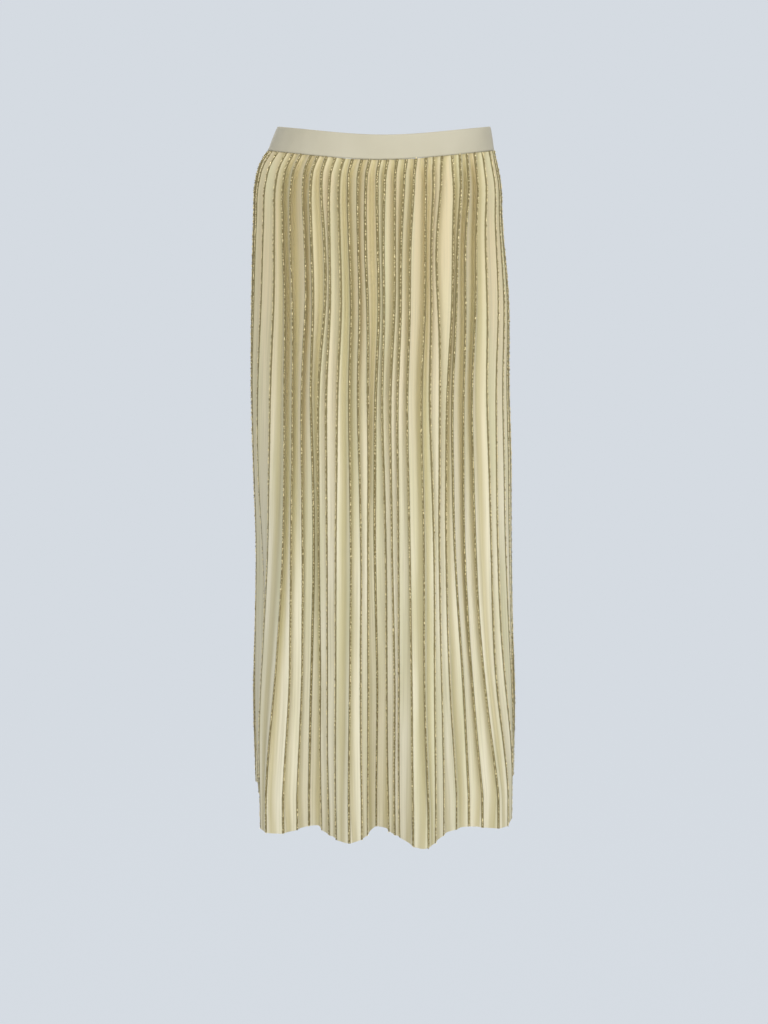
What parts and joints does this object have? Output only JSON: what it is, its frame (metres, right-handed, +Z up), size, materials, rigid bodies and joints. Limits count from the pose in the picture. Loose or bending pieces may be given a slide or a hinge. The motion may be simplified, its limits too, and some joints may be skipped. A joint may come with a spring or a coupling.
{
  "type": "pleated maxi skirt",
  "caption": "Long pleated knit skirt on an elastic waistband, worn and hollow, open at waist and hem, with narrow pleats that open into soft waves at the hem.",
  "frame": {"origin": "centre of the waist, where the wearer holds the skirt up, halfway up the waistband at the sides", "axes": "+Z up along the body, -Y towards the front of the skirt, +X towards the wearer's left"},
  "size_m": [0.3777, 0.3405, 0.9279],
  "materials": {
    "band_knit": "matt fine knit",
    "pleat_knit": "soft satin fine knit",
    "metallic_yarn": "metallic yarn with small glints"
  },
  "bodies": {
    "root": {"waistband": "band_knit", "front_panel": "pleat_knit", "back_panel": "pleat_knit"}
  },
  "joints": []
}
